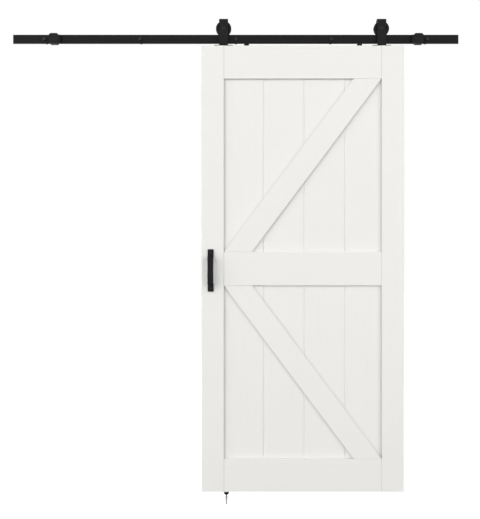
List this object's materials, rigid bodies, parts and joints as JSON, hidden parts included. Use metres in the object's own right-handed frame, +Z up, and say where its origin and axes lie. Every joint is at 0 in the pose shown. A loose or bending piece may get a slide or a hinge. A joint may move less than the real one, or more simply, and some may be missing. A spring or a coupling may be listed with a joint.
{
  "type": "sliding door",
  "caption": "Top-hung sliding door: framed, boarded and braced white leaf on two grooved wheels over a flat black wall rail with end stops and floor guide.",
  "frame": {"origin": "on the wall plane, at the wall end of the middle spacer, level with the rail's centre line", "axes": "+X along the rail to the right as seen from the room, +Y into the wall, +Z up"},
  "size_m": [2, 0.119, 2.1794],
  "materials": {
    "white_paint": "satin white paint",
    "dowel_wood": "bare beech",
    "black_steel": "matte black powder coat",
    "black_nylon": "matte",
    "rubber": "matte",
    "grey_nylon": "matte",
    "bearing_steel": "ground"
  },
  "bodies": {
    "track": {"track_rail": "black_steel", "wall_spacer_1": "black_steel", "wall_spacer_2": "black_steel", "wall_spacer_3": "black_steel", "wall_spacer_4": "black_steel", "wall_spacer_5": "black_steel", "lag_bolts": "black_steel", "bolt_washers": "black_steel", "stop_block_left": "black_steel", "stop_block_right": "black_steel", "stop_bumper_left": "rubber", "stop_bumper_right": "rubber", "stop_screws": "black_steel", "floor_guide": "black_nylon", "guide_screw": "black_steel", "guide_plug": "grey_nylon"},
    "door": {"stile_left": "white_paint", "stile_right": "white_paint", "rail_top": "white_paint", "rail_middle": "white_paint", "rail_bottom": "white_paint", "board_upper_1": "white_paint", "board_upper_2": "white_paint", "board_upper_3": "white_paint", "board_upper_4": "white_paint", "board_lower_1": "white_paint", "board_lower_2": "white_paint", "board_lower_3": "white_paint", "board_lower_4": "white_paint", "brace_upper_front": "white_paint", "brace_upper_back": "white_paint", "brace_lower_front": "white_paint", "brace_lower_back": "white_paint", "frame_dowels": "dowel_wood", "pull_handle": "black_steel", "handle_screws": "black_steel", "hanger_screws": "black_steel", "disc_screws": "black_steel", "hanger_left": "black_steel", "axle_bolt_left": "black_steel", "axle_nut_left": "black_steel", "axle_sleeves_left": "black_steel", "anti_jump_disc_left": "black_nylon", "hanger_right": "black_steel", "axle_bolt_right": "black_steel", "axle_nut_right": "black_steel", "axle_sleeves_right": "black_steel", "anti_jump_disc_right": "black_nylon"},
    "wheel_left": {"wheel_left": "black_steel", "bearing_left": "bearing_steel"},
    "wheel_right": {"wheel_right": "black_steel", "bearing_right": "bearing_steel"}
  },
  "joints": [
    {"name": "door_slide", "type": "slide", "parent": "track", "child": "door", "axis": [1, 0, 0], "range_m": [-0.7092, 0.114]},
    {"name": "wheel_left_spin", "type": "hinge", "parent": "door", "child": "wheel_left", "pos_m": [-0.0547, -0.041, 0.04675], "axis": [0, 1, 0], "continuous": true},
    {"name": "wheel_right_spin", "type": "hinge", "parent": "door", "child": "wheel_right", "pos_m": [0.6537, -0.041, 0.04675], "axis": [0, 1, 0], "continuous": true}
  ],
  "couplings": [
    {"joint": "wheel_left_spin", "follows": "door_slide", "rad_per_m": 37.736},
    {"joint": "wheel_right_spin", "follows": "door_slide", "rad_per_m": 37.736}
  ]
}
